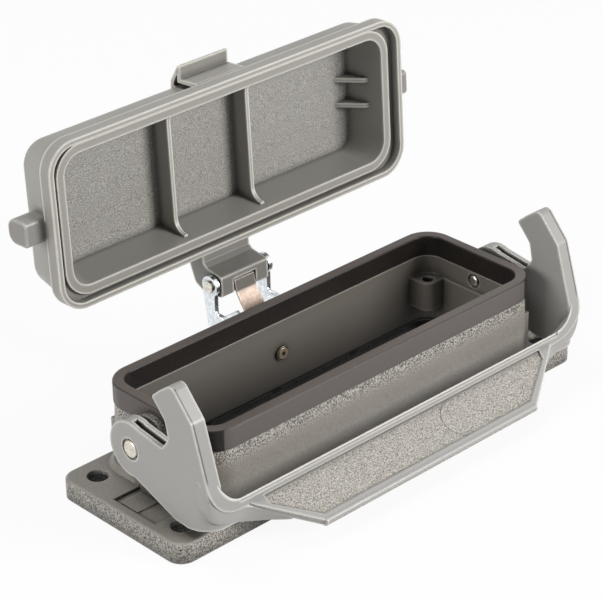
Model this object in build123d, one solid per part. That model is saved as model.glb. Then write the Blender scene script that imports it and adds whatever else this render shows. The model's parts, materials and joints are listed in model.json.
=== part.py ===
"""Bulkhead housing for a 24-way rectangular power connector.

A die-cast body stands on a four-hole flange. A moulded lever swings on two end pins
and a sprung cover swings on a sheet-steel bracket behind the body.
Millimetres. X runs along the housing, -Y is the lever side, +Z is up. The origin is the
centre of the mounting holes on the underside of the flange. The lever and the cover
are drawn in the open position.
"""
from build123d import *
from math import hypot
import os

os.makedirs("parts", exist_ok=True)

# cavity that every other plan size follows
cavity_length = 112.0
cavity_width = 35.2
cavity_corner = 5.0
cut_reach = 60.0

# flange and mounting pattern, given from the cavity
mount_reach = 9.0
mount_inset = 1.6
mount_hole = 5.7
flange_margin_x = 7.0
flange_margin_y = 7.2
flange_thickness = 5.6
flange_corner = 4.2
flange_edge = 0.9
field_width = 8.4
field_front = -11.0
field_back = 5.0
field_depth = 0.8
blank_size = 6.6
blank_height = 0.35

# cast body
wall_height = 18.4
wall = 2.8
wall_draft = 1.6
foot_flare = 1.2
body_corner = 7.6
foot_recess = 1.5
foot_recess_height = 3.4
stop_tab_length = 4.0
stop_tab_height = 1.0
stop_tab_x = (-27.0, -2.0, 27.0)
rear_pad_half = 13.0
rear_pad_reach = 1.2
rear_pad_rise = 6.0

# seats for the contact insert, given from the cavity
insert_inset_x = 4.0
insert_inset_y = 4.1
insert_hole = 3.3
insert_seat_drop = 5.6
insert_seat_depth = 8.6
insert_seat_reach = 2.8
ledge_thickness = 0.6

# seals
seal_height = 5.9
seal_tongue = 1.2
seal_tongue_depth = 2.0
seal_inset = 0.3
seal_pin_gap = 1.0
seal_edge = 0.6
gasket_width = 1.6
gasket_depth = 1.5
gasket_margin = 0.8

# lever pivot; the pins step down where they go through the wall
pivot_height = 15.7
pivot_pin = 4.8
pivot_clearance = 0.06
pin_tail = 3.0
pin_tail_relief = 0.6
pin_well = 0.5
pin_well_depth = 0.6
pad_radius = 6.6
pad_reach = 2.2

# lever side plate, (y, z) from the pivot
lever_side_gap = 1.8
lever_thickness = 4.2
lever_boss = 7.5
lever_close_angle = 38.0
lever_wall = 2.8
hook_tip = (-9.4, 19.2)
hook_crest = (-12.6, 22.0)
hook_top = (-16.6, 24.9)
hook_shoulder = (-23.6, 17.0)
floor_rear = (0.9, 7.45)
floor_front = (-12.2, 5.6)
slot_front = (-14.9, 9.2)
slot_upper = (-13.9, 14.2)
sole_middle = (-21.0, -13.2)
sole_rear = (-16.2, -12.9)
slot_groove_width = 1.6
slot_groove_depth = 2.0

# lever front: how far its edges stand before the body wall, and their level from the pivot
strip_bend = (9.0, -2.5)
strip_edge = (9.0, -5.0)
strip_step = (9.0, -6.1)
strip_low = (9.0, -8.2)
strip_step_depth = 0.4
strip_outer_round = 9.5
strip_inner_round = 6.3
strip_bevel = 0.8
return_front = 8.2
return_level = -12.0
return_round = 5.0
sole_front = (6.0, -12.0)
grip_top = (9.1, -7.6)
grip_lip = (18.9, -15.8)
grip_wall = 2.4
grip_bead = 1.2
grip_shoulder_inset = 13.6
grip_foot_inset = 28.6
grip_flare = 1.2
panel_recess = 0.6
panel_level = -7.6
panel_top_inset = 3.5
panel_corner_drop = 1.8
panel_side_margin = 4.0
panel_foot_margin = 0.7
panel_foot_rise = 1.05
disc_x = 14.0
disc_down = 5.2
disc_radius = 4.6

# cover hinge
hinge_reach = 12.5
hinge_rise = 1.7
hinge_pin = 2.4
hinge_clearance = 0.06
pin_head = 3.2
pin_head_height = 0.6
ear_inner = 8.8
ear_radius = 2.9
ear_front_reach = 1.9
sheet = 1.3
rivet_drop = 9.55
rivet_pin = 3.2
leaf_width = 7.0
leaf_thickness = 0.5
leaf_mouth = (-3.2, -3.0)
leaf_tip = (-2.3, 0.3)

# cover, drawn closed and then swung open
cover_open_angle = 92.73
cover_gap = 0.3
skirt_gap_x = 0.3
skirt_gap_y = 0.5
skirt_corner = 8.0
skirt_wall = 1.5
skirt_drop = 1.8
skirt_back = 2.0
lip_wall = 2.5
channel_depth = 0.9
end_draft = 2.2
side_draft = 1.3
cover_end_inset = 1.0
cover_side_outset = 0.3
cover_cavity_corner = 5.5
cover_cavity_depth = 11.7
cover_back = 2.0
end_step = 0.6
side_step = 1.9
cover_round = 3.6
rib_x = (-16.1, 11.0)
rib_thickness = 1.2
rib_height = 5.7
rib_toe = 3.6
gusset_y = (-4.2, 3.2)
gusset_run = 5.0
gusset_rise = 6.4
peg_short = 0.2
peg_y = -0.4
peg_z = 5.7
peg_width = 6.8
peg_height = 7.4

# hinge knuckle, (y, z) from the hinge line with the cover closed
knuckle_half = 8.3
knuckle_foot_front = (-2.6, -2.9)
knuckle_foot_back = (3.2, -2.8)
knuckle_back = (3.4, 4.7)
knuckle_shoulder = (1.7, 7.8)
knuckle_crown = ((-2.9, 9.4), (-10.7, 10.6), (-14.4, 10.8))
knuckle_under = ((-14.4, 4.0), (-4.9, 4.1), (-3.7, 2.75))
pocket_depth = 1.05
pocket_start = -0.9

# finger tab, (distance out from the cover's side, height over its lip) with the cover closed
finger_half = 8.3
finger_outside = ((-1.6, 2.6), (1.5, 3.3), (1.2, 9.7), (4.8, 9.5), (4.9, 10.2), (0.2, 13.3), (-3.4, 13.7))
finger_hollow = ((-0.4, 4.4), (0.4, 4.4), (0.2, 10.6), (2.6, 10.6), (-0.3, 12.3), (-1.2, 12.4), (-1.2, 4.6))
finger_web = 1.2

# worked-out levels and half sizes
mount_pitch_x = cavity_length + 2 * mount_reach
mount_pitch_y = cavity_width - 2 * mount_inset
flange_length = mount_pitch_x + 2 * flange_margin_x
flange_width = mount_pitch_y + 2 * flange_margin_y
insert_pitch_x = cavity_length - 2 * insert_inset_x
insert_pitch_y = cavity_width - 2 * insert_inset_y
body_height = flange_thickness + wall_height
insert_seat_z = body_height - insert_seat_drop
rivet_z = body_height - rivet_drop
pivot_z = flange_thickness + pivot_height
seal_top = body_height + seal_height
lip_z = seal_top + cover_gap
body_length = cavity_length + 2 * wall
body_width = cavity_width + 2 * wall
pad_face = body_length / 2 + pad_reach
arm_inner = pad_face + lever_side_gap
lever_outer = arm_inner + lever_thickness
rear_pad_face = body_width / 2 + rear_pad_reach
hinge_y = rear_pad_face + hinge_reach
hinge_z = lip_z + hinge_rise
hinge_axis = Axis((0, hinge_y, hinge_z), (1, 0, 0))
seal_length = body_length + 2 * seal_inset
seal_width = body_width + 2 * seal_inset
skirt_length = seal_length + 2 * (skirt_gap_x + skirt_wall)
skirt_width = seal_width + 2 * (skirt_gap_y + skirt_wall)
cover_cavity_length = cavity_length - 2 * cover_end_inset
cover_cavity_width = cavity_width + 2 * cover_side_outset
peg_reach = lever_outer - peg_short
grip_shoulder_half = lever_outer - grip_shoulder_inset
grip_foot_half = lever_outer - grip_foot_inset


def slab(length, width, corner, bottom, top):
    """Upright block with rounded corners between two heights."""
    plan = Plane.XY.offset(bottom) * RectangleRounded(length, width, corner)
    return extrude(plan, amount=top - bottom)


def drafted(lower, upper, bottom, top):
    """Block between two rounded rectangles given as (length, width, corner)."""
    return loft([
        Plane.XY.offset(bottom) * RectangleRounded(*lower),
        Plane.XY.offset(top) * RectangleRounded(*upper),
    ])


def ring(length, width, corner, thickness, bottom, top):
    """Rounded frame of a given thickness about a middle line."""
    outside = slab(length + thickness, width + thickness, corner + thickness / 2, bottom, top)
    inside = slab(length - thickness, width - thickness, corner - thickness / 2, bottom - 1, top + 1)
    return outside - inside


def across(profile, start, end):
    """Extrude a profile drawn in (y, z) along X."""
    plane = Plane(origin=(start, 0, 0), x_dir=(0, 1, 0), z_dir=(1, 0, 0))
    return extrude(plane * profile, amount=end - start)


def facing(profile, back, front):
    """Extrude a profile drawn in (x, z) from y = back towards y = front."""
    plane = Plane(origin=(0, back, 0), x_dir=(1, 0, 0), z_dir=(0, -1, 0))
    return extrude(plane * profile, amount=back - front)


def rod(radius, start, end, y, z):
    """Round bar along X."""
    return across(Pos(y, z) * Circle(radius), start, end)


def outline(*points):
    return make_face(Polyline(*points, close=True))


def rounded(face, points, radius):
    """Round those corners of a flat face that lie at the given places."""
    chosen = [v for v in face.vertices()
              if any(abs(v.X - a) + abs(v.Y - b) < 0.01 for a, b in points)]
    return fillet(chosen, radius)


def pair(shape):
    return [shape, mirror(shape, about=Plane.YZ)]


def save(node, shape, colour):
    shape.label = node
    shape.color = Color(*colour)
    export_step(shape, "parts/" + node + ".step")


# cast body: flange, drafted walls, pivot pads, bracket pad
flange = slab(flange_length, flange_width, flange_corner, 0, flange_thickness)
flange = fillet(flange.edges().group_by(Axis.Z)[-1], flange_edge)
body = flange + drafted(
    (body_length + wall_draft, body_width + wall_draft, body_corner + wall_draft / 2),
    (body_length, body_width, body_corner),
    flange_thickness - 1, body_height,
)
foot_length = body_length + wall_draft
foot_width = body_width + wall_draft
body += drafted(
    (foot_length + 2 * foot_flare, foot_width + 2 * foot_flare, body_corner + foot_flare),
    (foot_length - 0.2, foot_width - 0.2, body_corner), flange_thickness, flange_thickness + foot_flare + 0.1,
)
pad_profile = Pos(0, pivot_z) * Circle(pad_radius)
pad_profile += Pos(0, (flange_thickness + pivot_z) / 2 - 0.5) * Rectangle(
    2 * pad_radius, pivot_z - flange_thickness + 1)
for pad in pair(across(pad_profile, body_length / 2 - 1, pad_face)):
    body += pad
body -= slab(seal_length, seal_width, body_corner + seal_inset, body_height, body_height + pad_radius)
rear_pad_top = rivet_z + rear_pad_rise
body += Pos(0, (cavity_width / 2 + 1 + rear_pad_face) / 2, (flange_thickness + rear_pad_top) / 2 - 0.5) * Box(
    2 * rear_pad_half, rear_pad_face - cavity_width / 2 - 1, rear_pad_top - flange_thickness + 1)

# through opening, wider at the foot where the panel cut-out sits, with insert stops
body -= slab(cavity_length, cavity_width, cavity_corner, -1, body_height + pad_radius)
body -= slab(
    cavity_length + 2 * foot_recess, cavity_width + 2 * foot_recess,
    cavity_corner + foot_recess, -1, foot_recess_height,
)
for x in stop_tab_x:
    for side in (-1, 1):
        body += Pos(x, side * (cavity_width + foot_recess + 1) / 2, foot_recess_height - stop_tab_height / 2) * Box(
            stop_tab_length, foot_recess + 1, stop_tab_height)

# insert seats in the four corners, with a ledge along each end wall
seat_x = insert_pitch_x / 2 - insert_seat_reach
seat_y = insert_pitch_y / 2 - insert_seat_reach
buried = wall / 2
seat_plan = outline(
    (seat_x, seat_y), (cavity_length / 2 + buried, seat_y),
    (cavity_length / 2 + buried, cavity_width / 2 + buried), (seat_x, cavity_width / 2 + buried),
)
seat_plan = rounded(seat_plan, [(seat_x, seat_y)], insert_seat_reach * 0.98)
seat = extrude(Plane.XY.offset(insert_seat_z - insert_seat_depth) * seat_plan, amount=insert_seat_depth)
ledge = Pos(cavity_length / 2, 0, (foot_recess_height + insert_seat_z) / 2) * Box(
    2 * ledge_thickness, insert_pitch_y, insert_seat_z - foot_recess_height)
for near in (seat, mirror(seat, about=Plane.XZ), ledge):
    for piece in pair(near):
        body += piece
for sx in (-1, 1):
    for sy in (-1, 1):
        body -= Pos(sx * insert_pitch_x / 2, sy * insert_pitch_y / 2, insert_seat_z) * Cylinder(
            insert_hole / 2, 2 * insert_seat_depth + 2)
        body -= Pos(sx * mount_pitch_x / 2, sy * mount_pitch_y / 2, 0) * Cylinder(
            mount_hole / 2, 4 * flange_thickness)
    field_middle = (field_front + field_back) / 2
    body -= Pos(sx * mount_pitch_x / 2, field_middle, flange_thickness) * Box(
        field_width, field_back - field_front, 2 * field_depth)
    body += Pos(sx * mount_pitch_x / 2, 0, flange_thickness - field_depth) * Box(
        blank_size, blank_size, 2 * blank_height)

# holes for the pivot pins and the bracket rivet, grooves for the two seals
body -= rod(pin_tail / 2, -pad_face - 1, pad_face + 1, 0, pivot_z)
relief = rod(pin_tail / 2 + pin_tail_relief, cavity_length / 2 - ledge_thickness - 1,
             cavity_length / 2 + pin_tail_relief, 0, pivot_z)
for piece in pair(relief):
    body -= piece
rivet_plane = Plane(origin=(0, cavity_width / 2 - 1, rivet_z), z_dir=(0, 1, 0))
body -= extrude(rivet_plane * Circle(rivet_pin / 2), amount=wall + rear_pad_reach + 2)

tongue = ring(
    (cavity_length + body_length) / 2, (cavity_width + body_width) / 2,
    (cavity_corner + body_corner) / 2, seal_tongue, body_height - seal_tongue_depth, body_height)
tongue -= rod(pin_tail / 2 + seal_pin_gap, -pad_face, pad_face, 0, pivot_z)
body -= tongue
gasket_offset = 2 * foot_recess + 2 * gasket_margin + gasket_width
gasket = ring(
    cavity_length + gasket_offset, cavity_width + gasket_offset,
    cavity_corner + gasket_offset / 2, gasket_width, 0, gasket_depth)
body -= gasket

# rim seal, a little proud of the wall outside
seal = slab(seal_length, seal_width, body_corner + seal_inset, body_height, seal_top)
seal -= slab(cavity_length, cavity_width, cavity_corner, body_height - 1, seal_top + 1)
seal = fillet(seal.edges().group_by(Axis.Z)[-1], seal_edge)
seal += tongue

# pivot pins: a tail pressed through the end wall and a thicker bearing outside it
tail_end = cavity_length / 2 - ledge_thickness / 2
pivot_right = rod(pivot_pin / 2, pad_face, lever_outer + 0.1, 0, pivot_z)
pivot_right = chamfer(pivot_right.edges().group_by(Axis.X)[-1], 0.3)
tail = rod(pin_tail / 2, tail_end, pad_face + 1, 0, pivot_z)
pivot_right += fillet(tail.edges().group_by(Axis.X)[0], 0.5)
pivot_left = mirror(pivot_right, about=Plane.YZ)


# lever side plate; the slot takes the cover's peg
def from_pivot(point):
    return (point[0], point[1] + pivot_z)


def before_wall(point):
    """A point given by its distance before the body's front wall and its level from the pivot."""
    return (-body_width / 2 - point[0], point[1] + pivot_z)


edge_at = before_wall(strip_edge)
step_at = before_wall(strip_step)
bend_at = before_wall(strip_bend)
low_at = before_wall(strip_low)
sole_at = before_wall(sole_front)
top_at = before_wall(grip_top)
lip_at = before_wall(grip_lip)
shoulder_at = from_pivot(hook_shoulder)
low_back = (low_at[0] + lever_wall, low_at[1])
blade = outline(
    from_pivot(hook_tip), from_pivot(hook_crest), from_pivot(hook_top), shoulder_at, bend_at, low_at,
    low_back, sole_at, from_pivot(sole_middle), from_pivot(sole_rear), from_pivot((0, 0.6 - lever_boss)),
    from_pivot((lever_boss - 0.6, 0)), from_pivot(floor_rear), from_pivot(floor_front),
    from_pivot(slot_front), from_pivot(slot_upper),
)
blade = rounded(blade, [from_pivot(p) for p in (hook_top, sole_rear, slot_front, hook_shoulder, slot_upper)], 2.0)
blade = rounded(blade, [from_pivot(floor_front)], 1.4)
blade = rounded(blade, [bend_at], 8.0)
blade = rounded(blade, [from_pivot(hook_tip)], 0.8)
blade += Pos(0, pivot_z) * Circle(lever_boss)
arm = across(blade, arm_inner, lever_outer)

# a groove runs along the slot's floor and up its front end
groove = outline(
    from_pivot((0, floor_rear[1] + 1)), from_pivot((0, floor_rear[1] - slot_groove_depth)),
    from_pivot((floor_front[0] - 0.4, floor_front[1] - slot_groove_depth)),
    from_pivot((slot_front[0] - slot_groove_depth * 0.8, slot_front[1])),
    from_pivot((slot_upper[0] - slot_groove_depth * 0.8, slot_upper[1])), from_pivot((-10, slot_upper[1])),
    from_pivot((-10, floor_front[1] + 1)),
)
arm_middle = (arm_inner + lever_outer) / 2
arm -= across(groove, arm_middle - slot_groove_width / 2, arm_middle + slot_groove_width / 2)

# the front edge of both plates runs round into one strip: a thin sloping layer with
# round corners, seen through a window that widens towards the back
layer_top = (shoulder_at[0] * 0.45 + bend_at[0] * 0.55, shoulder_at[1] * 0.45 + bend_at[1] * 0.55)
layer = outline(
    layer_top, bend_at, low_at, low_back, (bend_at[0] + lever_wall, bend_at[1]),
    (layer_top[0] + lever_wall, layer_top[1]),
)
layer = rounded(layer, [bend_at], 8.0)
frame_top = layer_top[1] + 10
frame_outer = outline(
    (-lever_outer, frame_top), (lever_outer, frame_top),
    (lever_outer, low_at[1]), (-lever_outer, low_at[1]))
frame_outer = rounded(frame_outer, [(-lever_outer, low_at[1]), (lever_outer, low_at[1])], strip_outer_round)


def window(y, grow):
    """Window of the strip at one depth, widened all round."""
    height = 2 * (frame_top - edge_at[1])
    plane = Plane(origin=(0, y, edge_at[1] + height / 2), x_dir=(1, 0, 0), z_dir=(0, -1, 0))
    return plane * RectangleRounded(2 * (arm_inner + grow), height + 2 * grow, strip_inner_round + grow)


full_layer = across(layer, -lever_outer, lever_outer)
lever = full_layer & facing(frame_outer, 0, -cut_reach)
lever -= extrude(window(edge_at[0], 0), amount=cut_reach)
lever -= loft([window(edge_at[0], 0), window(edge_at[0] + 6, 6 * strip_bevel)])
corner_waste = full_layer - facing(frame_outer, 0, -cut_reach)

# each plate's front edge is rounded in plan up to where the strip's corner starts
return_y = before_wall((return_front, 0))[0]
return_low = pivot_z + return_level
round_start = return_y + return_round
round_top = low_at[1] + strip_outer_round
edge_waste = Pos(0, round_start - cut_reach / 2, round_top / 2) * Box(3 * cut_reach, cut_reach, round_top)
edge_waste -= slab(2 * lever_outer, -2 * return_y, return_round, -1, round_top + 1)
for plate in pair(arm):
    lever += plate - corner_waste - edge_waste
step_half = arm_inner - strip_inner_round + 1
lever -= across(outline(
    (edge_at[0] + strip_step_depth, edge_at[1] + 1), (edge_at[0] - 3, edge_at[1] + 1),
    (step_at[0] - 3, step_at[1]), (step_at[0] + strip_step_depth, step_at[1])), -step_half, step_half)

# below the strip each plate turns the corner and ends behind the grip
turned = slab(2 * lever_outer, -2 * return_y, return_round, return_low, low_at[1] + 0.4)
turned -= slab(2 * arm_inner, -2 * (return_y + lever_wall), return_round - lever_wall,
               return_low - 1, low_at[1] + 1)
return_half = grip_shoulder_inset / 2
for side in (-1, 1):
    lever += turned & Pos(side * (lever_outer - return_half), return_y, low_at[1]) * Box(
        2 * return_half, 2 * (sole_at[0] - return_y), cut_reach)

# the flared grip: a sloping plate that tapers in from the shoulders to a beaded foot
slope_run = hypot(lip_at[0] - top_at[0], lip_at[1] - top_at[1])
slope_out = ((lip_at[1] - top_at[1]) / slope_run, (top_at[0] - lip_at[0]) / slope_run)
grip_plane = Plane(origin=(0, *top_at), x_dir=(1, 0, 0), z_dir=(0, *slope_out))
grip_half_face = outline(
    (0, 0.8), (grip_shoulder_half + grip_flare, 0.8), (grip_shoulder_half + grip_flare, 0),
    (grip_shoulder_half, -grip_flare), (grip_foot_half, -slope_run), (0, -slope_run),
)
for face in (grip_half_face, mirror(grip_half_face, about=Plane.YZ)):
    lever += extrude(grip_plane * face, amount=-grip_wall)
bead_y = lip_at[0] + grip_bead * 0.75
bead_z = lip_at[1] - grip_bead * 0.55
lever += rod(grip_bead, -grip_foot_half, grip_foot_half, bead_y, bead_z)

# sunk panel with a bare disc
panel_top = pivot_z + panel_level
panel_low = lip_at[1] + panel_foot_rise
panel_side = grip_shoulder_half - panel_side_margin
panel_foot = grip_foot_half - panel_foot_margin
panel_face = outline(
    (-grip_shoulder_half + panel_top_inset, panel_top), (grip_shoulder_half - panel_top_inset, panel_top),
    (panel_side, panel_top - panel_corner_drop), (panel_foot, panel_low), (-panel_foot, panel_low),
    (-panel_side, panel_top - panel_corner_drop),
)
panel_cut = outline(
    (top_at[0] + panel_recess * 1.3, top_at[1]), (lip_at[0] + panel_recess * 1.3, lip_at[1]),
    (lip_at[0] - 5, lip_at[1]), (top_at[0] - 5, top_at[1]),
)
lever -= across(panel_cut, -grip_shoulder_half, grip_shoulder_half) & facing(panel_face, 0, -cut_reach)
lever += extrude(
    grip_plane * (Pos(disc_x, -disc_down) * Circle(disc_radius)), amount=-grip_wall / 2)
lever -= extrude(
    grip_plane.offset(-panel_recess * 0.6) * (Pos(disc_x, -disc_down) * Circle(disc_radius + 0.2)), amount=grip_wall)
lever -= rod(pivot_pin / 2 + pivot_clearance, -lever_outer - 1, lever_outer + 1, 0, pivot_z)
for piece in pair(rod(pivot_pin / 2 + pin_well, lever_outer - pin_well_depth, lever_outer + 1, 0, pivot_z)):
    lever -= piece

# hinge bracket: base plate, sloping web, two ears
base_low = rivet_z - 6.0
base_top = rivet_z + 5.6
ear_outer = ear_inner + sheet
bracket = Pos(0, rear_pad_face + sheet / 2, (base_low + base_top) / 2) * Box(
    2 * ear_outer, sheet, base_top - base_low)
ear_front = hinge_y - ear_front_reach
web_top = hinge_z - 7.7
ear = outline(
    (rear_pad_face, base_low), (rear_pad_face, base_top), (ear_front - 2.6, web_top), (ear_front, web_top),
    (ear_front, hinge_z), (hinge_y + ear_radius, hinge_z), (hinge_y + 1.0, hinge_z - 11.5),
    (hinge_y - 2.5, base_low + 3), (hinge_y - 6, base_low),
)
ear += Pos(hinge_y, hinge_z) * Circle(ear_radius)
for piece in pair(across(ear, ear_inner, ear_outer)):
    bracket += piece
web = outline(
    (rear_pad_face + 0.3, base_top - 1.0), (rear_pad_face + sheet, base_top - 2.2),
    (ear_front - 1.6, web_top - 1.1), (ear_front - 2.6, web_top),
)
bracket += across(web, -ear_inner - 0.1, ear_inner + 0.1)
notch_low = base_top - 2.0
bracket -= facing(Pos(0, (notch_low + hinge_z) / 2) * RectangleRounded(
    leaf_width + 1.2, hinge_z - notch_low, 2.0), hinge_y, rear_pad_face + sheet + 0.1)
bracket -= rod(hinge_pin / 2 + 0.01, -ear_outer - 1, ear_outer + 1, hinge_y, hinge_z)
bracket -= extrude(rivet_plane * Circle(rivet_pin / 2 + 0.01), amount=30)

# leaf spring, clamped by the rivet and bent up into the knuckle
leaf_foot = rear_pad_face + sheet + leaf_thickness / 2
leaf_path = FilletPolyline(
    (0, leaf_foot, base_low + 1.5), (0, leaf_foot, base_top - 3.1),
    (0, hinge_y + leaf_mouth[0], hinge_z + leaf_mouth[1]), (0, hinge_y + leaf_tip[0], hinge_z + leaf_tip[1]),
    radius=1.6,
)
leaf_section = Plane(origin=(0, leaf_foot, base_low + 1.5), z_dir=(0, 0, 1)) * Rectangle(
    leaf_width, leaf_thickness)
leaf = sweep(leaf_section, path=leaf_path)
leaf -= extrude(rivet_plane * Circle(rivet_pin / 2 + 0.01), amount=30)

# bracket rivet and hinge pin
rivet_back = rear_pad_face + sheet + leaf_thickness
rivet = extrude(rivet_plane * Circle(rivet_pin / 2), amount=rivet_back - cavity_width / 2 + 2)
inner_head = extrude(
    Plane(origin=(0, cavity_width / 2 - 0.8, rivet_z), z_dir=(0, 1, 0)) * Circle(rivet_pin * 0.65), amount=0.8)
outer_head = extrude(
    Plane(origin=(0, rivet_back, rivet_z), z_dir=(0, 1, 0)) * Circle(rivet_pin * 0.7), amount=1.4)
rivet += inner_head
rivet += fillet(outer_head.edges().group_by(Axis.Y)[-1], 0.8)
pin = rod(hinge_pin / 2, -ear_outer, ear_outer, hinge_y, hinge_z)
for piece in pair(rod(pin_head / 2, ear_outer, ear_outer + pin_head_height, hinge_y, hinge_z)):
    pin += piece

# cover shell in its closed place
outer_low = (skirt_length - 2 * end_step, skirt_width - 2 * side_step, skirt_corner - 1.0)
outer_high = (outer_low[0] - 2 * end_draft, outer_low[1] - 2 * side_draft, skirt_corner - 1.6)
cover_top = lip_z + cover_cavity_depth + cover_back
crown = drafted(outer_low, outer_high, lip_z + skirt_back - 0.4, cover_top)
crown = fillet(crown.edges().group_by(Axis.Z)[-1], cover_round)
cover = slab(skirt_length, skirt_width, skirt_corner, lip_z - skirt_drop, lip_z + skirt_back) + crown
inner_low = (cover_cavity_length, cover_cavity_width, cover_cavity_corner)
inner_high = (inner_low[0] - 2 * end_draft, inner_low[1] - 2 * side_draft, cover_cavity_corner - 1.0)
cover_cavity = drafted(inner_low, inner_high, lip_z, lip_z + cover_cavity_depth)
skirt_inner = (skirt_length - 2 * skirt_wall, skirt_width - 2 * skirt_wall, skirt_corner - skirt_wall)
lip_outer = (inner_low[0] + 2 * lip_wall, inner_low[1] + 2 * lip_wall, cover_cavity_corner + lip_wall)
cover -= slab(*skirt_inner, lip_z - skirt_drop - 1, lip_z)
cover -= slab(*skirt_inner, lip_z - 0.1, lip_z + channel_depth) - slab(
    *lip_outer, lip_z - 1, lip_z + channel_depth + 1)
cover -= cover_cavity

# two cross ribs that swell towards the long walls, and small gussets behind each peg
rib_level = lip_z + cover_cavity_depth - rib_height
rib_span = cover_cavity_width - 2 * side_draft * (1 - rib_height / cover_cavity_depth)
rib = Pos(0, (rib_level - rib_toe + cover_top - 1) / 2) * Rectangle(
    cover_cavity_width + 1, cover_top - 1 - rib_level + rib_toe)
rib -= Pos(0, rib_level - 10) * RectangleRounded(rib_span - 0.4, 20, rib_toe)
for x in rib_x:
    cover += across(rib, x - rib_thickness / 2, x + rib_thickness / 2)
gusset_end = cover_cavity_length / 2 + 1
gusset = outline(
    (gusset_end - 1 - end_draft - gusset_run, lip_z + cover_cavity_depth + 0.2),
    (gusset_end, lip_z + cover_cavity_depth + 0.2), (gusset_end, lip_z + cover_cavity_depth - gusset_rise - 2),
    (gusset_end - 1 - end_draft, lip_z + cover_cavity_depth - gusset_rise),
)
for y in gusset_y:
    for piece in pair(facing(gusset, y + rib_thickness / 2, y - rib_thickness / 2)):
        cover += piece

# pegs for the lever's slots
peg_level = lip_z + peg_z
peg = Pos(peg_y, peg_level) * Rectangle(peg_width, peg_height)
peg = fillet(peg.vertices().group_by(Axis.Y)[-1], 2.8)
peg = fillet(peg.vertices().group_by(Axis.Y)[0], 1.1)
peg = across(peg, cover_cavity_length / 2 + 1.5, peg_reach)
peg = fillet(peg.edges().group_by(Axis.X)[-1], 0.5)
for piece in pair(peg):
    cover += piece

# finger tab on the free side, hollow at both ends
side_face = skirt_width / 2 - side_step


def beside_cover(points):
    return [(-side_face - out, lip_z + up) for out, up in points]


cover += across(outline(*beside_cover(finger_outside)), -finger_half, finger_half)
for piece in pair(across(outline(*beside_cover(finger_hollow)), finger_web / 2, finger_half + 1)):
    cover -= piece


# hinge arm and knuckle
def from_hinge(point):
    return (point[0] + hinge_y, point[1] + hinge_z)


knuckle = outline(*(from_hinge(point) for point in (
    knuckle_foot_front, knuckle_foot_back, knuckle_back, knuckle_shoulder, *knuckle_crown, *knuckle_under)))
knuckle = rounded(knuckle, [from_hinge(knuckle_foot_front), from_hinge(knuckle_foot_back)], 0.6)
knuckle = rounded(knuckle, [from_hinge(knuckle_shoulder), from_hinge(knuckle_back)], 2.0)
cover += across(knuckle, -knuckle_half, knuckle_half)
cover -= rod(hinge_pin / 2 + hinge_clearance, -knuckle_half - 1, knuckle_half + 1, hinge_y, hinge_z)
pocket_floor = hinge_z + knuckle_foot_front[1] + pocket_depth
cover -= across(outline(
    (hinge_y + pocket_start, pocket_floor), (hinge_y + 5, pocket_floor),
    (hinge_y + 5, pocket_floor - 3), (hinge_y + pocket_start, pocket_floor - 3)),
    -leaf_width / 2 - 0.5, leaf_width / 2 + 0.5)
cover = cover.rotate(hinge_axis, -cover_open_angle)

grey_cast = (0.47, 0.46, 0.43)
grey_moulded = (0.55, 0.55, 0.54)
black_rubber = (0.09, 0.08, 0.08)
zinc = (0.85, 0.87, 0.88)
steel = (0.78, 0.76, 0.70)
bronze = (0.62, 0.42, 0.30)
save("housing_body", body, grey_cast)
save("rim_seal", seal, black_rubber)
save("panel_seal", gasket, black_rubber)
save("pivot_pin_left", pivot_left, steel)
save("pivot_pin_right", pivot_right, steel)
save("hinge_bracket", bracket, zinc)
save("bracket_rivet", rivet, steel)
save("hinge_pin", pin, steel)
save("cover_spring", leaf, bronze)
save("locking_lever", lever, grey_moulded)
save("cover_shell", cover, grey_moulded)
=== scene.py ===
import math
import bpy
from mathutils import Matrix, Vector
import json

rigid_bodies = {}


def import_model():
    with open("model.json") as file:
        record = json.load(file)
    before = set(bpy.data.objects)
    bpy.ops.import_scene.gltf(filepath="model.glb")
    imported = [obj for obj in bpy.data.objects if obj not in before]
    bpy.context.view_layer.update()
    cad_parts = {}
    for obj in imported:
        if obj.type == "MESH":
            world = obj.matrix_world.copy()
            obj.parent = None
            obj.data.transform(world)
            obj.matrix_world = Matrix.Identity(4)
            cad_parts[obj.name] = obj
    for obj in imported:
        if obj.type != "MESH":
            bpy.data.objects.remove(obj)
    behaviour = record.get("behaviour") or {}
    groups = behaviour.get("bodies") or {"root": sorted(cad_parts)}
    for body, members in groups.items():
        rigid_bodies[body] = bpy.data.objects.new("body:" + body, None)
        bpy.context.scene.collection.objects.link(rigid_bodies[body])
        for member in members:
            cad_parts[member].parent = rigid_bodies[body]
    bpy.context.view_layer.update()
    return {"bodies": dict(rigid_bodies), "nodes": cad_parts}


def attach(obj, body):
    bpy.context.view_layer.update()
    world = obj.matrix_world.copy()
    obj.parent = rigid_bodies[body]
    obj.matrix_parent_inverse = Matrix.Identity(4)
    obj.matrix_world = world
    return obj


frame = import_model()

scene = bpy.context.scene
nodes = frame["nodes"]

# camera at the photograph's viewing angle, angles in degrees and lengths in metres
cameraSetup = {
    "azimuth": -43.10,
    "elevation": 28.39,
    "roll": -1.10,
    "distance": 0.63693,
    "lens": 145.92,  # millimetres, on a sensor of the width below
    "sensor": 36.0,
    "clip": (0.01, 20.0),
    "aim": (0.0, 0.0, 0.020),
    "slideRight": -0.00666,
    "slideUp": 0.014888,
}


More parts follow.
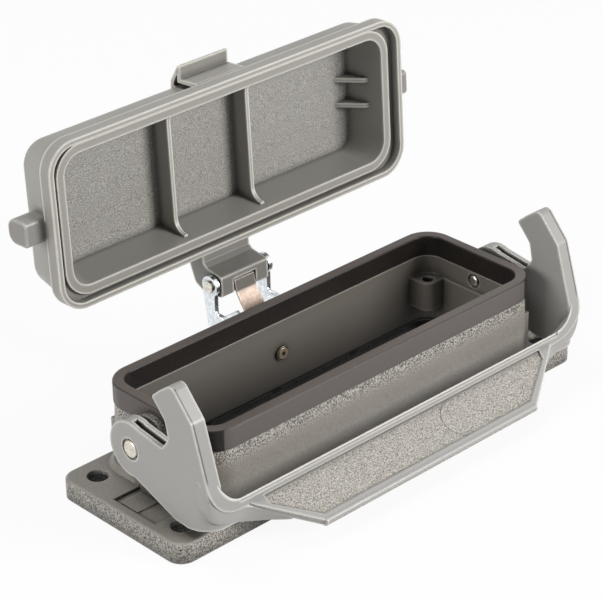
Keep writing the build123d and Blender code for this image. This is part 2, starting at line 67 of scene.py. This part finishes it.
def makeCamera(setup):
    azimuth, elevation, roll = (math.radians(setup[key]) for key in ("azimuth", "elevation", "roll"))
    forward = Vector((
        -math.sin(azimuth) * math.cos(elevation),
        math.cos(azimuth) * math.cos(elevation),
        -math.sin(elevation),
    ))
    level = forward.cross(Vector((0, 0, 1))).normalized()
    upright = level.cross(forward)
    right = level * math.cos(roll) + upright * math.sin(roll)
    up = upright * math.cos(roll) - level * math.sin(roll)
    target = Vector(setup["aim"]) + right * setup["slideRight"] + up * setup["slideUp"]
    data = bpy.data.cameras.new("photoCamera")
    data.lens = setup["lens"]
    data.sensor_width = setup["sensor"]
    data.clip_start, data.clip_end = setup["clip"]
    camera = bpy.data.objects.new("photoCamera", data)
    scene.collection.objects.link(camera)
    camera.location = target - forward * setup["distance"]
    camera.rotation_euler = Matrix((right, up, -forward)).transposed().to_euler()
    scene.camera = camera


makeCamera(cameraSetup)
print("camera placed")


# small helpers that add nodes to a shader's tree
def addNode(tree, kind, inputs=None, **settings):
    node = tree.nodes.new(kind)
    for name, value in settings.items():
        setattr(node, name, value)
    for socket, value in (inputs or {}).items():
        if isinstance(value, bpy.types.NodeSocket):
            tree.links.new(value, node.inputs[socket])
        else:
            node.inputs[socket].default_value = value
    return node


def mathNode(tree, operation, *values):
    return addNode(tree, "ShaderNodeMath", dict(enumerate(values)), operation=operation).outputs[0]


def times(tree, first, second):
    return mathNode(tree, "MULTIPLY", first, second)


def plus(tree, first, second):
    return mathNode(tree, "ADD", first, second)


def minus(tree, first, second):
    return mathNode(tree, "SUBTRACT", first, second)


def larger(tree, first, second):
    return mathNode(tree, "MAXIMUM", first, second)


def away(tree, value):
    # distance from the middle plane, on either side
    return mathNode(tree, "ABSOLUTE", value)


def allBut(tree, mask):
    return minus(tree, 1.0, mask)


def ramp(tree, value, start, end, low=0.0, high=1.0, kind="LINEAR"):
    # low at the start value, high at the end value, and level beyond both
    return addNode(tree, "ShaderNodeMapRange", {
        "Value": value, "From Min": start, "From Max": end, "To Min": low, "To Max": high,
    }, interpolation_type=kind).outputs["Result"]


def above(tree, value, limit, soft):
    return ramp(tree, value, limit - soft, limit + soft, kind="SMOOTHSTEP")


def below(tree, value, limit, soft):
    return ramp(tree, value, limit - soft, limit + soft, 1.0, 0.0, "SMOOTHSTEP")


def band(tree, value, low, high, soft):
    return times(tree, above(tree, value, low, soft), below(tree, value, high, soft))


def place(tree, axis):
    # x, y or z of the surface point at rest, in metres of the shared frame
    source = addNode(tree, "ShaderNodeTexCoord")
    return addNode(tree, "ShaderNodeSeparateXYZ", {0: source.outputs["Object"]}).outputs[axis]


def facing(tree, axis):
    # x, y or z of the surface normal
    source = addNode(tree, "ShaderNodeTexCoord")
    return addNode(tree, "ShaderNodeSeparateXYZ", {0: source.outputs["Normal"]}).outputs[axis]


def depthAlong(tree, acrossY, alongZ):
    # distance along a direction in the plane of y and z
    return plus(tree, times(tree, place(tree, "Y"), acrossY), times(tree, place(tree, "Z"), alongZ))


def insideBox(tree, half, soft):
    # 1 over a rectangle around the origin seen from above, given by its half sizes
    return times(tree, below(tree, away(tree, place(tree, "X")), half[0], soft),
                 below(tree, away(tree, place(tree, "Y")), half[1], soft))


def outsideBox(tree, half, soft):
    return larger(tree, above(tree, away(tree, place(tree, "X")), half[0], soft),
                  above(tree, away(tree, place(tree, "Y")), half[1], soft))


def mixColours(tree, amount, first, second):
    mix = addNode(tree, "ShaderNodeMix", data_type="RGBA")
    tree.links.new(amount, mix.inputs[0])
    for socket, value in ((mix.inputs[6], first), (mix.inputs[7], second)):
        if isinstance(value, bpy.types.NodeSocket):
            tree.links.new(value, socket)
        else:
            socket.default_value = (*value, 1.0)
    return mix.outputs[2]


# node groups that every material shares
surfaceSetup = {
    "edgeSamples": 6, "roundSamples": 4,
    "fullMask": 0.35,  # openness at which the edge and crease masks are full
    "grainDetail": 1.5, "grainWarp": 0.4, "grainRange": (0.34, 0.66),
    "cloudScale": 55.0, "cloudDetail": 2.0, "cloudRoughness": 0.5, "cloudRange": (0.3, 0.7),
}


def newGroup(name, inputs, outputs):
    group = bpy.data.node_groups.new(name, "ShaderNodeTree")
    for label, value in inputs:
        socket = group.interface.new_socket(label, in_out="INPUT", socket_type="NodeSocketFloat")
        socket.default_value = value
    for label in outputs:
        group.interface.new_socket(label, in_out="OUTPUT", socket_type="NodeSocketFloat")
    return group, group.nodes.new("NodeGroupInput"), group.nodes.new("NodeGroupOutput")


def useGroup(tree, group, **values):
    return addNode(tree, "ShaderNodeGroup", values, node_tree=group).outputs


def makeEdgeGroup(setup):
    # outer edges and inner corners of a piece, as two masks, for painted highlight and painted shade
    group, given, result = newGroup(
        "edgeHighlightAndCreaseShade", [("edgeWidth", 0.0006), ("creaseWidth", 0.002)], ["edge", "crease"])
    for width, label, isInside in (("edgeWidth", "edge", True), ("creaseWidth", "crease", False)):
        probe = addNode(group, "ShaderNodeAmbientOcclusion", {"Distance": given.outputs[width]},
                        samples=setup["edgeSamples"], inside=isInside, only_local=isInside)
        mask = ramp(group, probe.outputs["AO"], 1.0, setup["fullMask"])
        group.links.new(mask, result.inputs[label])
    return group


def makeGrainGroup(setup):
    # fine pebbled surface of a powder coat or a spark-eroded mould, and broad clouds over it
    group, given, result = newGroup(
        "surfaceGrain", [("grainSize", 0.0007), ("softness", 0.5)], ["grain", "cloud"])
    point = addNode(group, "ShaderNodeTexCoord").outputs["Object"]
    fine = addNode(group, "ShaderNodeTexNoise", {
        "Vector": point, "Scale": mathNode(group, "DIVIDE", 1.0, given.outputs["grainSize"]),
        "Detail": setup["grainDetail"], "Roughness": given.outputs["softness"],
        "Distortion": setup["grainWarp"]})
    broad = addNode(group, "ShaderNodeTexNoise", {
        "Vector": point, "Scale": setup["cloudScale"],
        "Detail": setup["cloudDetail"], "Roughness": setup["cloudRoughness"]})
    for noise, spread, label in ((fine, "grainRange", "grain"), (broad, "cloudRange", "cloud")):
        mask = ramp(group, noise.outputs["Fac"], *setup[spread])
        group.links.new(mask, result.inputs[label])
    return group


edgeLightAndShadeGroup = makeEdgeGroup(surfaceSetup)
grainGroup = makeGrainGroup(surfaceSetup)


def finish(name, look, grainMask=None, tones=()):
    # one material: grain and cloud in the colour, painted highlight along outer edges, painted shade in
    # inner corners, bump over rounded edges
    material = bpy.data.materials.new(name)
    material.use_nodes = True
    tree = material.node_tree
    shader = tree.nodes["Principled BSDF"]
    shader.inputs["Metallic"].default_value = look["metallic"]
    shader.inputs["Specular IOR Level"].default_value = look["specular"]
    surface = useGroup(tree, grainGroup, grainSize=look["grainSize"])
    edges = useGroup(tree, edgeLightAndShadeGroup, edgeWidth=look["edgeWidth"], creaseWidth=look["creaseWidth"])
    grain, cloud = surface["grain"], surface["cloud"]
    if grainMask:
        # away from the mask the grain is drawn towards its middle grey
        amount = ramp(tree, grainMask(tree), 0.0, 1.0, look["grainElsewhere"], 1.0)
        grain = plus(tree, times(tree, minus(tree, grain, 0.5), amount), 0.5)
    colour = mixColours(tree, grain, look["dark"], look["light"])
    colour = mixColours(tree, times(tree, cloud, look["cloud"]), colour, look["cloudColour"])
    for mask, tone in tones:
        colour = mixColours(tree, mask(tree), colour, tone)
    # painted shade in the inner corners, then painted highlight along the outer edges
    for mask in ("crease", "edge"):
        amount = times(tree, edges[mask], look[mask + "Amount"])
        colour = mixColours(tree, amount, colour, look[mask + "Colour"])
    tree.links.new(colour, shader.inputs["Base Color"])
    tree.links.new(ramp(tree, cloud, 0.0, 1.0, *look["roughness"]), shader.inputs["Roughness"])
    rounded = addNode(tree, "ShaderNodeBevel", {"Radius": look["edgeRound"]},
                      samples=surfaceSetup["roundSamples"])
    bump = addNode(tree, "ShaderNodeBump", {
        "Strength": 1.0, "Distance": look["bump"], "Height": grain, "Normal": rounded.outputs["Normal"]})
    tree.links.new(bump.outputs["Normal"], shader.inputs["Normal"])
    return material


def dress(material, *names):
    for name in names:
        slots = nodes[name].data.materials
        slots.clear()
        slots.append(material)


maskEdge = 0.0001  # metres, softness of a mask at the edge of a form

# die-cast body under a warm grey powder coat, coarse outside with painted glints, smooth in the cavity
# under painted shade
coatLook = {
    "dark": (0.022, 0.020, 0.017), "light": (0.43, 0.40, 0.352), "grainSize": 0.00042,
    "grainElsewhere": 0.14, "cloud": 0.15, "cloudColour": (0.17, 0.156, 0.138),
    "edgeWidth": 0.0007, "edgeAmount": 0.4, "edgeColour": (0.44, 0.42, 0.38),
    "creaseWidth": 0.004, "creaseAmount": 0.9, "creaseColour": (0.012, 0.010, 0.008),
    "roughness": (0.30, 0.42), "metallic": 0.0, "specular": 0.5, "bump": 0.00011, "edgeRound": 0.0007,
    "cavity": (0.0563, 0.0179), "cavityShadeTone": (0.125, 0.112, 0.096),
    "under": (0.0705, 0.0215), "darkBelow": 0.0044, "holeShadeTone": (0.004, 0.004, 0.004),
    "glintBand": (0.0185, 0.030), "bandSoft": 0.002, "glintRise": 0.005, "glintMost": 0.5,
    "glintSpeckle": (0.35, 0.8), "glintTone": (0.52, 0.49, 0.43),
    "flangeTop": 0.0052, "flangeSoft": 0.0004, "levelFrom": 0.75, "levelSoft": 0.15,
}


def inCavity(tree):
    return insideBox(tree, coatLook["cavity"], maskEdge)


def underCavityShade(tree):
    # walls of the screw holes and of the open bottom, painted near black as the shade they lie in
    low = below(tree, place(tree, "Z"), coatLook["darkBelow"], maskEdge)
    return times(tree, insideBox(tree, coatLook["under"], maskEdge), low)


def glintBelowRim(tree):
    # painted glints: paler speckles in a band below the rim, where the coat catches more light
    low = coatLook["glintBand"][0]
    rise = ramp(tree, place(tree, "Z"), low, low + coatLook["glintRise"], 0.0, coatLook["glintMost"])
    grain = useGroup(tree, grainGroup, grainSize=coatLook["grainSize"])["grain"]
    speckled = ramp(tree, grain, *coatLook["glintSpeckle"])
    return times(tree, times(tree, rise, allBut(tree, inCavity(tree))), speckled)


def coarseCoatAndGlint(tree):
    # coarse on the flange's sides and below the rim, fine on the rest; the strong grain contrast there is
    # the real grain with painted glints
    low, high = coatLook["glintBand"]
    soft = coatLook["bandSoft"]
    upper = band(tree, place(tree, "Z"), low + soft, high, soft)
    level = above(tree, away(tree, facing(tree, "Z")), coatLook["levelFrom"], coatLook["levelSoft"])
    flange = below(tree, place(tree, "Z"), coatLook["flangeTop"], coatLook["flangeSoft"])
    flangeSide = times(tree, flange, allBut(tree, level))
    return times(tree, larger(tree, upper, flangeSide), allBut(tree, inCavity(tree)))


# tones: a darker flat tone in the cavity, painted shade of the recess over its smooth coat; painted glints
# below the rim; painted near-black shade under the cavity
dress(finish("powderCoat", coatLook, coarseCoatAndGlint, [
    (inCavity, coatLook["cavityShadeTone"]), (glintBelowRim, coatLook["glintTone"]),
    (underCavityShade, coatLook["holeShadeTone"])]), "housing_body")

# moulded lever, finely textured in its sunk panel only
leverLook = {
    "dark": (0.12, 0.110, 0.095), "light": (0.46, 0.43, 0.38), "grainSize": 0.00036,
    "grainElsewhere": 0.05, "cloud": 0.12, "cloudColour": (0.30, 0.295, 0.285),
    "edgeWidth": 0.0007, "edgeAmount": 0.85, "edgeColour": (0.72, 0.69, 0.63),
    "creaseWidth": 0.002, "creaseAmount": 0.9, "creaseColour": (0.02, 0.016, 0.013),
    "roughness": (0.30, 0.42), "metallic": 0.0, "specular": 0.5, "bump": 0.00006, "edgeRound": 0.0005,
    "panelTop": (-0.0295, 0.0137), "panelLip": (-0.0393, 0.0055),  # y and z of the grip's outline
    "panelDepth": (0.0003, 0.0009), "panelSoft": 0.00005,
    "satin": (0.29, 0.284, 0.272),
    "shadowLineSpan": (0.0662, 0.0667), "shadowLineFrom": 0.0235, "shadowLineStart": 0.001, "shadowLineTone": (0.07, 0.058, 0.048),
    "forwardFrom": -0.5, "forwardSoft": 0.1,
    "downFrom": -0.65, "downSoft": 0.12, "undersideShadeTone": (0.10, 0.095, 0.083),
}


def sunkPanel(tree):
    # depth below the grip's own plane picks out the sunk panel
    top, lip = Vector(leverLook["panelTop"]), Vector(leverLook["panelLip"])
    soft = leverLook["panelSoft"]
    run = lip - top
    outward = Vector((run.y, -run.x)).normalized()
    depth = plus(tree, depthAlong(tree, -outward.x, -outward.y), outward.dot(top))
    beyondTop = below(tree, place(tree, "Y"), leverLook["panelTop"][0] + maskEdge, soft)
    return times(tree, band(tree, depth, *leverLook["panelDepth"], soft), beyondTop)


def notPanel(tree):
    return allBut(tree, sunkPanel(tree))


def frontShadowLine(tree):
    # thin dark line beside the outer edge of the front band, a painted shadow of the small step there
    forward = below(tree, facing(tree, "Y"), leverLook["forwardFrom"], leverLook["forwardSoft"])
    high = above(tree, place(tree, "Z"), leverLook["shadowLineFrom"], leverLook["shadowLineStart"])
    line = band(tree, away(tree, place(tree, "X")), *leverLook["shadowLineSpan"], maskEdge)
    return times(tree, line, times(tree, forward, high))


def undersideShade(tree):
    # painted shade on the faces that look downwards
    return below(tree, facing(tree, "Z"), leverLook["downFrom"], leverLook["downSoft"])


leverFinish = finish("leverMoulding", leverLook, sunkPanel, [
    (notPanel, leverLook["satin"]), (frontShadowLine, leverLook["shadowLineTone"]),
    (undersideShade, leverLook["undersideShadeTone"])])
dress(leverFinish, "locking_lever")

# at each front corner the lever's skin runs round from the side plate under the strip to
# the grip: columns of (strip point, outer point, outer y, back y), right side, millimetres
cornerLook = {
    "stripY": -29.36, "skin": 1.0, "nearDepth": 0.25, "nearSpan": 0.7, "subdivisions": 2,
    "columns": [
        ((66.6, 23.5), (66.98, 23.5), -27.3, -23.0), ((66.3, 20.0), (67.02, 20.0), -28.2, -23.0),
        ((64.8, 17.0), (67.02, 17.0), -28.6, -23.0), ((61.9, 14.5), (66.6, 13.6), -28.6, -23.0),
        ((59.5, 13.6), (65.2, 11.3), -28.6, -23.5), ((58.0, 13.4), (62.8, 10.1), -28.5, -25.0),
        ((56.5, 13.4), (59.8, 9.4), -28.4, -26.6), ((54.8, 13.3), (56.6, 8.5), -28.4, -27.2),
        ((53.0, 12.2), (52.5, 7.0), -28.8, -27.6), ((49.5, 9.9), (48.4, 6.3), -30.4, -29.2),
        ((44.5, 7.4), (44.0, 5.6), -33.3, -32.1),
    ],
    "otherY": {0: -27.85, 1: -28.9, 8: -30.2, 9: -32.0, 10: -34.9},  # columns that leave the strip's y
}
millimetres = 1000  # in a metre
leverBody = next(name for name in frame["bodies"] if "lever" in name)


def makeCorner(name, side, look):
    rows = []
    depth, span = look["nearDepth"], look["nearSpan"]
    for index, (inner, outer, outerY, backY) in enumerate(look["columns"]):
        innerY = look["otherY"].get(index, look["stripY"])
        nearX, nearZ = (start * (1 - span) + end * span for start, end in zip(inner, outer))
        nearY = innerY * (1 - depth) + outerY * depth
        outerX, outerZ = outer
        rows.append([
            (inner[0], innerY, inner[1]), (nearX, nearY, nearZ), (outerX, outerY, outerZ),
            (outerX, (outerY + backY) / 2, outerZ), (outerX, backY, outerZ)])
    points = [(side * x / millimetres, y / millimetres, z / millimetres) for row in rows for x, y, z in row]
    wide = len(rows[0])
    faces = []
    for row in range(len(rows) - 1):
        for step in range(wide - 1):
            start = row * wide + step
            face = (start, start + 1, start + wide + 1, start + wide)
            faces.append(face if side < 0 else face[::-1])
    mesh = bpy.data.meshes.new(name)
    mesh.from_pydata(points, [], faces)
    mesh.polygons.foreach_set("use_smooth", [True] * len(faces))
    corner = bpy.data.objects.new(name, mesh)
    scene.collection.objects.link(corner)
    thick = corner.modifiers.new("skin", "SOLIDIFY")
    thick.thickness = look["skin"] / millimetres
    thick.offset = -1  # inwards from the points
    smooth = corner.modifiers.new("smooth", "SUBSURF")
    smooth.levels = smooth.render_levels = look["subdivisions"]
    mesh.materials.append(leverFinish)
    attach(corner, leverBody)


makeCorner("leverCornerLeft", -1, cornerLook)
makeCorner("leverCornerRight", 1, cornerLook)
print("lever corners made")

# moulded cover, textured on its deep inner face
coverLook = {
    "dark": (0.17, 0.162, 0.145), "light": (0.36, 0.348, 0.315), "grainSize": 0.00034,
    "grainElsewhere": 0.10, "cloud": 0.15, "cloudColour": (0.27, 0.262, 0.245),
    "edgeWidth": 0.0007, "edgeAmount": 1.0, "edgeColour": (0.80, 0.77, 0.70),
    "creaseWidth": 0.002, "creaseAmount": 0.75, "creaseColour": (0.03, 0.026, 0.022),
    "roughness": (0.32, 0.44), "metallic": 0.0, "specular": 0.5, "bump": 0.00006, "edgeRound": 0.0005,
    "deepFace": (0.0418, 0.0432), "deepSoft": 0.0002, "lean": 2.75,  # degrees back from upright
    "pegFrom": 0.0612, "pegTone": (0.21, 0.20, 0.185),
    "lowBelow": 0.0432, "lowSoft": 0.0004, "lowShadeTone": (0.20, 0.192, 0.175),
}


def deepFace(tree):
    lean = math.radians(coverLook["lean"])
    depth = depthAlong(tree, math.cos(lean), -math.sin(lean))
    return band(tree, depth, *coverLook["deepFace"], coverLook["deepSoft"])


def coverPegs(tree):
    return above(tree, away(tree, place(tree, "X")), coverLook["pegFrom"], maskEdge)


def coverLowShade(tree):
    # painted shade: darker on the cover below a given height
    return below(tree, place(tree, "Z"), coverLook["lowBelow"], coverLook["lowSoft"])


dress(finish("coverMoulding", coverLook, deepFace, [
    (coverLowShade, coverLook["lowShadeTone"]), (coverPegs, coverLook["pegTone"])]), "cover_shell")

# brown-black seals, with a painted highlight on top and a painted reflection on their outer sides
sealLook = {
    "dark": (0.008, 0.007, 0.006), "light": (0.022, 0.018, 0.016), "grainSize": 0.0004,
    "cloud": 0.4, "cloudColour": (0.024, 0.020, 0.018),
    "edgeWidth": 0.0005, "edgeAmount": 0.2, "edgeColour": (0.11, 0.095, 0.085),
    "creaseWidth": 0.003, "creaseAmount": 0.9, "creaseColour": (0.003, 0.003, 0.002),
    "roughness": (0.28, 0.40), "metallic": 0.0, "specular": 0.2, "bump": 0.000006, "edgeRound": 0.0005,
    "outer": (0.0586, 0.0202), "uprightTo": 0.5, "uprightSoft": 0.2, "outerReflectionTone": (0.10, 0.088, 0.083),
    "levelFrom": 0.8, "levelSoft": 0.15, "topHighlightTone": (0.105, 0.088, 0.080),
}


def sealOuterReflection(tree):
    upright = below(tree, away(tree, facing(tree, "Z")), sealLook["uprightTo"], sealLook["uprightSoft"])
    # painted reflection on the outer upright sides
    return times(tree, outsideBox(tree, sealLook["outer"], maskEdge), upright)


def sealTopHighlight(tree):
    # painted highlight on the faces that look upwards
    return above(tree, facing(tree, "Z"), sealLook["levelFrom"], sealLook["levelSoft"])


dress(finish("sealRubber", sealLook, None, [
    (sealTopHighlight, sealLook["topHighlightTone"]), (sealOuterReflection, sealLook["outerReflectionTone"])]), "rim_seal", "panel_seal")

# riveted pins
pinLook = {
    "dark": (0.55, 0.51, 0.44), "light": (0.88, 0.83, 0.74), "grainSize": 0.0005,
    "cloud": 0.25, "cloudColour": (0.60, 0.55, 0.46),
    "edgeWidth": 0.0003, "edgeAmount": 0.3, "edgeColour": (0.95, 0.92, 0.85),
    "creaseWidth": 0.0012, "creaseAmount": 0.9, "creaseColour": (0.04, 0.03, 0.02),
    "roughness": (0.26, 0.38), "metallic": 1.0, "specular": 0.5, "bump": 0.00001, "edgeRound": 0.0003,
}
dress(finish("pinSteel", pinLook), "pivot_pin_left", "pivot_pin_right", "hinge_pin")

# brass coloured rivet with a dark middle and rim
rivetLook = {
    "dark": (0.30, 0.23, 0.15), "light": (0.62, 0.50, 0.36), "grainSize": 0.0005,
    "cloud": 0.25, "cloudColour": (0.45, 0.35, 0.24),
    "edgeWidth": 0.0003, "edgeAmount": 0.6, "edgeColour": (0.85, 0.78, 0.64),
    "creaseWidth": 0.0012, "creaseAmount": 0.9, "creaseColour": (0.02, 0.016, 0.012),
    "roughness": (0.30, 0.42), "metallic": 1.0, "specular": 0.5, "bump": 0.00001, "edgeRound": 0.0003,
    "middleZ": 0.01445, "rim": 0.0017, "core": 0.0006, "rimSoft": 0.00012, "rimTone": (0.03, 0.024, 0.018),
}


def rivetRim(tree):
    across = place(tree, "X")
    drop = minus(tree, place(tree, "Z"), rivetLook["middleZ"])
    span = mathNode(tree, "SQRT", plus(tree, times(tree, across, across), times(tree, drop, drop)))
    rim = above(tree, span, rivetLook["rim"], rivetLook["rimSoft"])
    core = below(tree, span, rivetLook["core"], rivetLook["rimSoft"])
    return larger(tree, rim, core)


dress(finish("rivetBrass", rivetLook, None, [(rivetRim, rivetLook["rimTone"])]), "bracket_rivet")

# zinc plated bracket
zincLook = {
    "dark": (0.66, 0.71, 0.74), "light": (0.92, 0.95, 0.96), "grainSize": 0.0012,
    "cloud": 0.25, "cloudColour": (0.70, 0.78, 0.82),
    "edgeWidth": 0.0004, "edgeAmount": 0.4, "edgeColour": (0.97, 0.98, 0.98),
    "creaseWidth": 0.002, "creaseAmount": 0.9, "creaseColour": (0.02, 0.02, 0.02),
    "roughness": (0.16, 0.30), "metallic": 1.0, "specular": 0.5, "bump": 0.00001, "edgeRound": 0.0004,
}
dress(finish("zincPlate", zincLook), "hinge_bracket")

# leaf spring, darker as painted shade where it runs in the cover's pocket
springLook = {
    "dark": (0.26, 0.195, 0.155), "light": (0.38, 0.29, 0.235), "grainSize": 0.0009,
    "cloud": 0.3, "cloudColour": (0.30, 0.23, 0.18),
    "edgeWidth": 0.0004, "edgeAmount": 0.6, "edgeColour": (0.85, 0.76, 0.66),
    "creaseWidth": 0.002, "creaseAmount": 0.8, "creaseColour": (0.03, 0.02, 0.015),
    "roughness": (0.38, 0.50), "metallic": 0.5, "specular": 0.5, "bump": 0.00001, "edgeRound": 0.0004,
    "pocketFrom": 0.0288, "pocketSoft": 0.0008, "pocketShadeTone": (0.11, 0.10, 0.085),
}


def pocketShade(tree):
    # painted shade above the height where the spring enters the pocket
    return above(tree, place(tree, "Z"), springLook["pocketFrom"], springLook["pocketSoft"])


dress(finish("leafSpring", springLook, None, [(pocketShade, springLook["pocketShadeTone"])]), "cover_spring")
print("materials placed")

# white surroundings for the camera, glossy and clear rays, and a plain level of light for the rest
roomLook = {
    "ambient": 0.12, "white": (1, 1, 1, 1),
    "floorSize": 6, "floorDrop": 0.0002, "floorColour": (0.75, 0.75, 0.75, 1), "floorRoughness": 0.9,
    "floorWhite": 0.92, "shaded": (0.058, 0.019), "shadeSoft": 0.002,  # shaded under the open body
}


def brightRays(tree):
    rays = addNode(tree, "ShaderNodeLightPath").outputs
    seen = larger(tree, rays["Is Camera Ray"], rays["Is Glossy Ray"])
    return larger(tree, seen, rays["Is Transmission Ray"])


def makeSurroundings(look):
    world = bpy.data.worlds.new("studio")
    scene.world = world
    world.use_nodes = True
    tree = world.node_tree
    light = tree.nodes["Background"]
    light.inputs["Color"].default_value = look["white"]
    light.inputs["Strength"].default_value = look["ambient"]
    white = addNode(tree, "ShaderNodeBackground", {"Color": look["white"], "Strength": 1.0})
    both = addNode(tree, "ShaderNodeMixShader", {
        0: brightRays(tree), 1: light.outputs[0], 2: white.outputs[0]})
    tree.links.new(both.outputs[0], tree.nodes["World Output"].inputs["Surface"])


def makeFloor(look):
    bpy.ops.mesh.primitive_plane_add(size=look["floorSize"], location=(0, 0, -look["floorDrop"]))
    floor = bpy.context.object
    floor.name = "floor"
    paper = bpy.data.materials.new("floorPaper")
    paper.use_nodes = True
    tree = paper.node_tree
    matt = tree.nodes["Principled BSDF"]
    matt.inputs["Base Color"].default_value = look["floorColour"]
    matt.inputs["Roughness"].default_value = look["floorRoughness"]
    glow = addNode(tree, "ShaderNodeEmission", {"Color": look["white"], "Strength": 1.0})
    amount = times(tree, times(tree, brightRays(tree), look["floorWhite"]),
                   outsideBox(tree, look["shaded"], look["shadeSoft"]))
    both = addNode(tree, "ShaderNodeMixShader", {0: amount, 1: matt.outputs[0], 2: glow.outputs[0]})
    tree.links.new(both.outputs[0], tree.nodes["Material Output"].inputs["Surface"])
    floor.data.materials.append(paper)


makeSurroundings(roomLook)
makeFloor(roomLook)
print("room placed")

# soft square lamps: place and width in metres, power in watts
lampSetup = {
    "keyLamp": ((0.50, -0.95, 0.50), 0.45, 15.0),
    "leftLamp": ((-1.05, 0.15, 0.40), 0.50, 7.5),
    "topLamp": ((-0.15, 0.35, 1.00), 0.50, 4.5),
}
lampAim = Vector((0, 0, 0.03))

for name, (spot, width, power) in lampSetup.items():
    data = bpy.data.lights.new(name, "AREA")
    data.shape = "SQUARE"
    data.size = width
    data.energy = power
    lamp = bpy.data.objects.new(name, data)
    scene.collection.objects.link(lamp)
    lamp.location = spot
    lamp.rotation_euler = (lampAim - Vector(spot)).to_track_quat("-Z", "Y").to_euler()
print("lamps placed")

scene.view_settings.view_transform = "Standard"
